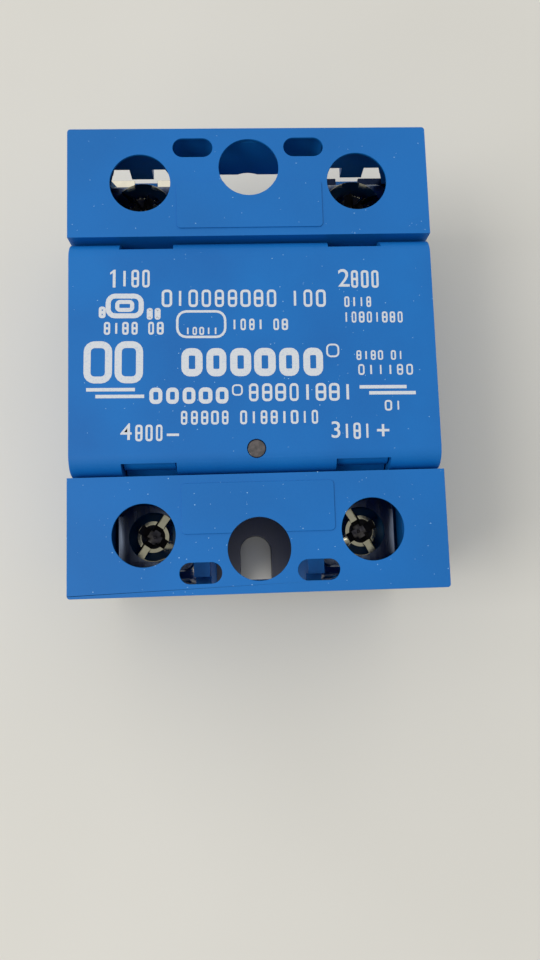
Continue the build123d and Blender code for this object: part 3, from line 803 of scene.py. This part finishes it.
@dataclass
class ClampScrew:
    """A pan-head terminal screw with a combined slot and cross recess and a real thread."""

    node: str
    body: str
    pitch_mm: float
    turn_deg: float
    slot_mm: float = 1.0
    slot_depth_mm: float = 0.9
    cross_mm: float = 4.3
    cross_arm_mm: float = 1.25
    cross_depth_mm: float = 1.9
    arm_foot_share: float = 0.42
    core_mm: float = 1.85
    crown_share: float = 0.63
    crown_dome_mm: float = 0.08
    cone_deg: float = 20.0
    bend_mm: float = 0.15
    rim_mm: float = 0.3
    round_steps: int = 96
    edge_mm: float = 0.05

    def build(self, thread: Thread) -> None:
        """Turn the head, cut its recess and wind the thread below it.

        Args:
            thread: the pattern that winds the thread.
        """
        low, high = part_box(self.node)
        centre = Vector(((low.x + high.x) / 2, (low.y + high.y) / 2, 0))
        head_r = (high.x - low.x) / 2
        clamp_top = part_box(self.node.replace("screw", "clamp"))[1].z
        head = self.turn_head(centre, head_r, clamp_top, high.z)
        self.cut_recess(head, centre, head_r, high.z)
        soften(head, self.edge_mm)
        self.dress_head(head, centre, high.z)
        crest = self.shank_radius(low, high)
        shank = thread.run(
            f"{self.node}_thread",
            {
                "Crest": crest * 0.985,
                "Root": crest - 0.55 * self.pitch_mm * MM,
                "Pitch": self.pitch_mm * MM,
                "Length": clamp_top - low.z - 0.5 * MM,
                "Foot": (centre.x, centre.y, low.z + 0.5 * MM),
                "Material": BRIGHT_STEEL.build(),
            },
        )
        smooth(shank, 40)
        screw = join([head, shank], f"{self.node}_finished")
        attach(screw, self.body)
        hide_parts(self.node)
        log.info("%s: %d faces", screw.name, len(screw.data.polygons))

    def shank_radius(self, low: Vector, high: Vector) -> float:
        """Read the shank's radius from the CAD screw's lowest ring of vertices."""
        mesh = frame["nodes"][self.node].data
        centre = Vector(((low.x + high.x) / 2, (low.y + high.y) / 2))
        band = [v.co for v in mesh.vertices if low.z + 0.3 * MM < v.co.z < low.z + 2 * MM]
        return max((v.xy - centre).length for v in band)

    def turn_head(self, centre: Vector, radius: float, seat: float, top: float) -> Object:
        """Turn the pan head: an upright flank, a small rim, a shallow cone and a nearly flat crown."""
        crown = radius * self.crown_share
        cone = radians(self.cone_deg)
        bend, rim = self.bend_mm * MM, self.rim_mm * MM
        edge_z = top - self.crown_dome_mm * MM
        inner = Vector((crown + bend * sin(cone), edge_z - bend * (1 - cos(cone))))
        outer_x = radius - rim * (1 - sin(cone))
        outer = Vector((outer_x, inner.y - (outer_x - inner.x) * sin(cone) / cos(cone)))
        rim_z = outer.y - rim * cos(cone)
        profile = [(0, seat), (radius * 0.97, seat), (radius, seat + 0.1 * MM)]
        steps = 5
        for i in range(steps + 1):
            a = pi / 2 + (cone - pi / 2) * i / steps
            profile.append((radius - rim * (1 - sin(a)), rim_z + rim * cos(a)))
        for i in range(steps + 1):
            a = cone * (1 - i / steps)
            profile.append((crown + bend * sin(a), edge_z - bend * (1 - cos(a))))
        for i in range(1, steps):
            share = 1 - i / steps
            profile.append((crown * share, top - self.crown_dome_mm * MM * share**2))
        profile.append((0, top))
        return mesh_object(f"{self.node}_head", lathe(profile, centre, self.round_steps))

    def dress_head(self, head: Object, centre: Vector, top: float) -> None:
        """Plate the head bright, and give the punched recess a rougher finish and a darker colour, which is
        painted shade.
        """
        dress(head, BRIGHT_STEEL.build())
        head.data.materials.append(PUNCHED_STEEL_PAINTED_SHADE.build())
        # painted shade: faces deep in the recess, or steep below the crown, take the darker recess material
        for face in head.data.polygons:
            out = (face.center.xy - centre.xy).length
            deep = face.center.z < top - (self.slot_depth_mm + 0.05) * MM
            steep = face.normal.z < 0.8 and face.center.z < top - 0.15 * MM
            if out < self.cross_mm * MM * 0.56 and (deep or steep) and face.center.z > top - 2.4 * MM:
                face.material_index = 1

    def cut_recess(self, head: Object, centre: Vector, radius: float, top: float) -> None:
        """Cut the straight slot, the tapered cross and the round core into the crown."""
        crown = Matrix.Translation(centre + Vector((0, 0, top)))
        turned = Matrix.Rotation(radians(self.turn_deg), 4, "Z")
        slot = bmesh.new()
        bmesh.ops.create_cube(slot, size=1)
        size = Matrix.Diagonal((2.4 * radius, self.slot_mm * MM, 2 * self.slot_depth_mm * MM, 1))
        slot.transform(crown @ turned @ size)
        cut(head, mesh_object("slot_cutter", slot))
        for quarter in (0, 90):
            arm = bmesh.new()
            bmesh.ops.create_cube(arm, size=1)
            for v in arm.verts:
                wide = 1.0 if v.co.z > 0 else self.arm_foot_share
                v.co.x *= self.cross_mm * MM * wide
                v.co.y *= self.cross_arm_mm * MM * (1.0 if v.co.z > 0 else 0.8)
                v.co.z = 0.2 * MM if v.co.z > 0 else -self.cross_depth_mm * MM
            spin = Matrix.Rotation(radians(self.turn_deg + quarter), 4, "Z")
            arm.transform(crown @ spin)
            cut(head, mesh_object("cross_cutter", arm))
        core = bmesh.new()
        bmesh.ops.create_cone(
            core, cap_ends=True, segments=32, radius1=0.12 * MM, radius2=self.core_mm * MM,
            depth=(self.cross_depth_mm + 0.5) * MM,
        )
        sunk = Vector((0, 0, (0.1 - self.cross_depth_mm / 2) * MM))
        core.transform(crown @ Matrix.Translation(sunk))
        cut(head, mesh_object("core_cutter", core))


@dataclass(frozen=True)
class PrintLine:
    """One line of small print: where it stands, its sizes in mm, and how many boxes each word has."""

    x: float
    y: float
    wide: float
    tall: float
    stroke: float
    words: tuple[int, ...]
    narrowest: float = 0.8
    kinds: int = 2

    def put(self, line: BoxLine, level: float, coat: float) -> list[Object]:
        """Print the line, one piece for each word.

        Args:
            line: the pattern that prints a word.
            level: the height of the middle of the coat, in metres.
            coat: the coat's thickness, in metres.

        Returns:
            The printed words.
        """
        space = 0.8  # between words, as a share of a box
        step = self.wide / (sum(self.words) + space * (len(self.words) - 1))
        gap = min(0.3, 0.24 * step)  # between boxes, in mm
        x = self.x - self.wide / 2 + step / 2
        pieces = []
        for number, count in enumerate(self.words):
            values = {
                "Count": count,
                "Start": (x * MM, self.y * MM, level),
                "Step": (step * MM, 0, 0),
                "Width": (step - gap - self.stroke) * MM,
                "Height": (self.tall - self.stroke) * MM,
                "Stroke": self.stroke * MM,
                "Coat": coat,
                "Narrowest": self.narrowest,
                "Kinds": self.kinds,
                "Seed": number + int(abs(self.y) * 10),
                "Material": WHITE_INK.build(),
            }
            pieces.append(line.run("print_word", values))
            x += (count + space) * step
        return pieces


@dataclass
class Legend:
    """The print on the tower's top: numerals for the terminals, plain boxes for all small print."""

    coat_mm: float = 0.02
    lean_deg: float = -0.9
    frames: tuple[PrintLine, ...] = (
        PrintLine(-15.6, 5.75, 4.9, 3.1, 0.62, (1,), 1.0, 0),
        PrintLine(-15.6, 5.75, 2.6, 1.5, 0.5, (1,), 1.0, 0),
        PrintLine(-6.35, 3.45, 6.4, 3.5, 0.3, (1,), 1.0, 0),
        PrintLine(-16.9, -1.25, 7.4, 5.2, 0.85, (2,), 1.0, 0),
        PrintLine(9.6, 0.1, 1.9, 1.7, 0.22, (1,), 1.0, 0),
        PrintLine(-2.05, -4.75, 1.6, 1.4, 0.2, (1,), 1.0, 0),
    )
    lines: tuple[PrintLine, ...] = (
        PrintLine(-14.35, 9.2, 3.9, 2.25, 0.3, (3,), 0.85),
        PrintLine(13.8, 9.15, 3.8, 2.25, 0.3, (3,), 0.85),
        PrintLine(-12.6, -9.9, 3.6, 2.0, 0.28, (3,), 0.85),
        PrintLine(12.3, -9.85, 3.7, 2.0, 0.28, (3,), 0.85),
        PrintLine(-1.1, 6.7, 20.4, 2.2, 0.32, (9, 3)),
        PrintLine(-18.3, 4.95, 1.1, 1.45, 0.36, (1,), 1.0),
        PrintLine(-12.1, 4.75, 1.9, 1.45, 0.36, (2,), 1.0),
        PrintLine(-14.5, 2.95, 7.5, 1.6, 0.27, (4, 2)),
        PrintLine(0.75, 3.4, 7.2, 1.45, 0.25, (4, 2)),
        PrintLine(-6.3, 2.6, 4.2, 1.0, 0.2, (5,)),
        PrintLine(12.85, 6.25, 3.6, 1.35, 0.22, (4,)),
        PrintLine(14.7, 4.3, 7.6, 1.4, 0.22, (8,)),
        PrintLine(15.35, -0.5, 6.0, 1.2, 0.2, (4, 2)),
        PrintLine(16.0, -2.3, 7.1, 1.35, 0.22, (6,)),
        PrintLine(-0.15, -1.3, 17.6, 3.5, 0.92, (6,), 0.9, 0),
        PrintLine(-7.85, -5.4, 9.9, 2.0, 0.52, (5,), 0.9, 0),
        PrintLine(5.6, -5.05, 13.0, 2.2, 0.32, (8,)),
        PrintLine(16.8, -6.75, 2.4, 1.3, 0.22, (2,)),
        PrintLine(-0.6, -8.1, 16.9, 1.7, 0.27, (5, 8)),
    )
    rules: tuple[tuple[float, float, float], ...] = (
        (-20.1, -14.3, -4.62), (-19.0, -13.2, -5.45),
        (12.75, 18.5, -4.45), (13.9, 19.6, -5.2),
    )
    rule_mm: float = 0.42
    numerals: tuple = (("2", 11.2, 9.15, 2.25), ("4", -15.3, -9.85, 2.0), ("3", 9.75, -9.8, 2.0))
    numeral_weight_mm: float = 0.015
    pieces: list[Object] = field(default_factory=list)

    @property
    def level(self) -> float:
        """The height of the middle of the ink's coat."""
        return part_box("housing")[1].z + self.coat_mm * MM / 2

    def patch(self, outline: list[tuple[float, float]]) -> None:
        """Print one solid patch.

        Args:
            outline: its corners in mm, counter-clockwise.
        """
        shape = bmesh.new()
        low = self.level - self.coat_mm * MM / 2
        bottom = [shape.verts.new((x * MM, y * MM, low)) for x, y in outline]
        top = [shape.verts.new(v.co + Vector((0, 0, self.coat_mm * MM))) for v in bottom]
        shape.faces.new(top)
        shape.faces.new(bottom[::-1])
        for i in range(len(outline)):
            j = (i + 1) % len(outline)
            shape.faces.new((bottom[i], bottom[j], top[j], top[i]))
        self.pieces.append(mesh_object("print_patch", shape))

    def bar(self, x0: float, x1: float, y: float, thick: float) -> None:
        """Print a level bar between two places, in mm."""
        half = thick / 2
        self.patch([(x0, y - half), (x1, y - half), (x1, y + half), (x0, y + half)])

    def one(self, x: float, y: float, tall: float, stroke: float) -> None:
        """Print the numeral one: a stem and a short flag, in mm."""
        half, top, low = stroke / 2, y + tall / 2, y - tall / 2
        flag = tall * 0.22
        self.patch([
            (x - half, low), (x + half, low), (x + half, top), (x - half * 0.4, top),
            (x - flag, top - flag * 0.75), (x - flag, top - flag * 1.25), (x - half, top - flag * 0.85),
        ])

    def plus(self, x: float, y: float, reach: float, stroke: float) -> None:
        """Print a plus sign, in mm."""
        h = stroke / 2
        outline = []
        for turn in range(4):
            a = turn * pi / 2
            outline += [
                (x + px * cos(a) - py * sin(a), y + px * sin(a) + py * cos(a))
                for px, py in ((reach, -h), (reach, h), (h, h))
            ]
        self.patch(outline)

    def numeral(self, text: str, x: float, y: float, tall: float) -> None:
        """Print a numeral with its centre at a place in mm."""
        curve = bpy.data.curves.new("print_numeral", "FONT")
        curve.body = text
        curve.align_x = "CENTER"
        curve.align_y = "CENTER"
        curve.size = tall * MM / 0.7
        curve.offset = self.numeral_weight_mm * MM
        curve.extrude = self.coat_mm * MM / 2
        obj = bpy.data.objects.new("print_numeral", curve)
        bpy.context.scene.collection.objects.link(obj)
        bpy.context.view_layer.update()
        mesh = bpy.data.meshes.new_from_object(obj.evaluated_get(bpy.context.evaluated_depsgraph_get()))
        bpy.data.objects.remove(obj)
        mesh.transform(Matrix.Translation(Vector((x * MM, y * MM, self.level))))
        self.pieces.append(new_object("print_numeral", mesh))

    def build(self) -> None:
        """Print the whole legend and join it into one piece."""
        line = BoxLine()
        for row in self.frames + self.lines:
            self.pieces += row.put(line, self.level, self.coat_mm * MM)
        self.one(-16.9, 9.2, 2.25, 0.34)
        for numeral in self.numerals:
            self.numeral(*numeral)
        self.bar(-10.5, -9.05, -10.15, 0.3)
        self.plus(15.45, -9.8, 0.75, 0.3)
        for x0, x1, y in self.rules:
            self.bar(x0, x1, y, self.rule_mm)
        legend = join(self.pieces, "printed_legend")
        legend.data.shade_flat()
        legend.data.transform(Matrix.Rotation(radians(self.lean_deg), 4, "Z"))
        dress(legend, WHITE_INK.build())
        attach(legend, "relay_body")
        log.info("printed_legend: %d faces", len(legend.data.polygons))


@dataclass
class Dust:
    """Settled dust on the top of one body's finished pieces."""

    body: str
    node: str
    slot: str
    density: float

    def build(self, fall: DustFall, ground: Object) -> None:
        """Scatter the dust over a finished piece.

        Args:
            fall: the pattern that scatters it.
            ground: the finished piece it lies on.
        """
        values = {
            "Density": self.density,
            "Lowest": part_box(self.node)[1].z - 0.5 * MM,
            "Material": DUST.build(),
        }
        dust = fall.run(f"{self.node}_dust", values, ground)
        dress(dust, DUST.build())
        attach(dust, self.body)
        log.info("%s: %d faces", dust.name, len(dust.data.polygons))


@dataclass
class Indicator:
    """The status window: a smoked lens with a thin bright rim where it meets the tower."""

    rim_mm: float = 0.14
    rim_high_mm: float = 0.12
    dome_mm: float = 0.06

    def build(self) -> None:
        """Turn the lens and its rim."""
        low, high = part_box("light_guide")
        centre = Vector(((low.x + high.x) / 2, (low.y + high.y) / 2, 0))
        radius = (high.x - low.x) / 2
        rim = self.rim_high_mm * MM
        profile = [(0, low.z), (radius * 0.93, low.z), (radius, low.z + 0.1 * MM), (radius, high.z - rim)]
        steps = 6
        for i in range(1, steps):
            a = pi / 2 * i / steps
            profile.append((radius - self.rim_mm * MM * (1 - cos(a)), high.z - rim * (1 - sin(a))))
        profile += [(radius * 0.55, high.z - self.dome_mm * MM * 0.3), (0, high.z)]
        lens = mesh_object("indicator_lens", lathe(profile, centre, 48))
        smooth(lens, 50)
        dress(lens, LENS.build())
        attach(lens, "relay_body")
        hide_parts("light_guide")
        log.info("indicator_lens: %d faces", len(lens.data.polygons))


@dataclass
class Studio:
    """The table, the soft light and the camera. None of it is part of the object."""

    eye_mm: tuple[float, float, float] = (-1.90, -25.10, 113.21)
    tilt_deg: tuple[float, float, float] = (6.4955, -2.1165, -1.7732)
    lens_mm: float = 26.44
    sensor_mm: float = 36.0
    table_m: float = 3.0
    key_place_m: tuple[float, float, float] = (-0.46, -0.10, 0.58)
    key_size_m: float = 0.34
    key_watts: float = 2.2
    sky_strength: float = 1.13
    horizon_share: float = 0.26
    sky_span: tuple[float, float] = (0.15, 0.95)
    brightest: tuple[float, float, float] = (-0.16, 0.36, 0.92)

    def build(self) -> None:
        """Set the table, the lights and the camera."""
        self.set_table()
        self.set_lights()
        self.set_camera()
        bpy.context.scene.view_settings.view_transform = "Standard"

    def set_table(self) -> None:
        """Lay a plain pale table under the relay."""
        shape = bmesh.new()
        bmesh.ops.create_grid(shape, x_segments=1, y_segments=1, size=self.table_m / 2)
        table = mesh_object("table", shape)
        dress(table, TABLE.build())

    def lamp(self, name: str, place: tuple, size: float, watts: float, colour: str) -> None:
        """Hang a square soft light that faces the relay."""
        light = bpy.data.lights.new(name, "AREA")
        light.energy = watts
        light.size = size
        light.color = linear(colour)[:3]
        obj = bpy.data.objects.new(name, light)
        obj.location = place
        obj.rotation_euler = Vector(place).to_track_quat("Z", "Y").to_euler()
        bpy.context.scene.collection.objects.link(obj)

    def set_lights(self) -> None:
        """A soft key from the left, and a sky that is brightest overhead and darker behind the viewer."""
        self.lamp("key_light", self.key_place_m, self.key_size_m, self.key_watts, "#FFFBF4")
        world = bpy.data.worlds.new("sky")
        world.use_nodes = True
        tree = world.node_tree
        direction = add_node(tree, "ShaderNodeTexCoord").outputs["Generated"]
        height = add_node(
            tree, "ShaderNodeVectorMath", {0: direction, 1: self.brightest}, operation="DOT_PRODUCT"
        ).outputs["Value"]
        rise = add_node(
            tree,
            "ShaderNodeMapRange",
            {
                "Value": height,
                "From Min": self.sky_span[0],
                "From Max": self.sky_span[1],
                "To Min": self.horizon_share,
                "To Max": 1.0,
            },
        )
        glow = add_node(
            tree, "ShaderNodeMath", {0: rise.outputs[0], 1: self.sky_strength}, operation="MULTIPLY"
        )
        sky = tree.nodes["Background"]
        sky.inputs["Color"].default_value = linear("#F8F7F3")
        tree.links.new(glow.outputs[0], sky.inputs["Strength"])
        bpy.context.scene.world = world

    def set_camera(self) -> None:
        """Set the camera close above the relay, leaning a little towards its power end."""
        camera = bpy.data.cameras.new("camera")
        camera.lens = self.lens_mm
        camera.sensor_width = self.sensor_mm
        camera.clip_start = 0.002
        obj = bpy.data.objects.new("camera", camera)
        obj.location = Vector(self.eye_mm) * MM
        obj.rotation_euler = Euler([radians(a) for a in self.tilt_deg])
        bpy.context.scene.collection.objects.link(obj)
        bpy.context.scene.camera = obj


@dataclass
class Relay:
    """The whole relay: its shells, screws, print and indicator, and the parts inside it."""

    def build(self) -> None:
        """Build every sub-assembly in order."""
        fall = DustFall()
        for node, body, finish, density in (
            ("housing", "relay_body", HOUSING_BLUE, 120000.0),
            ("flap_power", "power_cover", COVER_BLUE, 80000.0),
            ("flap_control", "control_cover", COVER_BLUE, 170000.0),
        ):
            shell = Shell(node, body, finish).build()
            slot = "housing_plastic" if node == "housing" else "cover_plastic"
            Dust(body, node, slot, density).build(fall, shell)
        Shell("base_plate", "relay_body", PLATE_METAL, 0.1).build()
        thread = Thread()
        for end, pitch, angles in ((End.POWER, 0.8, (-38.0, 24.0)), (End.CONTROL, 0.7, (56.0, 119.0))):
            kind = end.name.lower()
            for side, angle in zip(Side, angles):
                hand = side.name.lower()
                # painted shade: only the right power strip is coloured dark, for the shade it lies in; the
                # other three strips are bright tin
                strip = TIN_STRIP_PAINTED_SHADE if (end, side) == (End.POWER, Side.RIGHT) else TINNED_BRASS
                Shell(f"{kind}_terminal_{hand}", "relay_body", strip, 0.08).build()
                Shell(f"{kind}_clamp_{hand}", f"{kind}_{hand}_clamp_body", CLAMP_STEEL, 0.08).build()
                ClampScrew(f"{kind}_screw_{hand}", f"{kind}_{hand}_screw_body", pitch, angle).build(thread)
        Legend().build()
        Indicator().build()
        for node, finish in (
            ("adhesive_seal", SEALANT),
            ("ceramic_substrate", ALUMINA),
            ("copper_pads", COPPER),
            ("thyristor_chips", SILICON),
            ("silicone_gel", GEL),
            ("gate_pins", TINNED_BRASS),
            ("control_board", BOARD_GREEN),
            ("opto_coupler", EPOXY_BLACK),
            ("board_resistors", EPOXY_BLACK),
            ("regulator_transistor", EPOXY_BLACK),
            ("surge_suppressor", DIPPED_BLUE),
            ("smoothing_capacitor", DRAWN_CAN),
            ("indicator_led", CLEAR_EPOXY),
            ("power_nuts", NUT_STEEL),
            ("control_nuts", NUT_STEEL),
        ):
            dress(frame["nodes"][node], finish.build())
            log.info("%s: %s", node, finish.name)


def main() -> None:
    """Build the relay and its studio."""
    logging.basicConfig(level=logging.INFO, format="%(name)s %(message)s")
    Studio().build()
    Relay().build()
    bpy.context.view_layer.update()


if __name__ == "__main__":
    main()
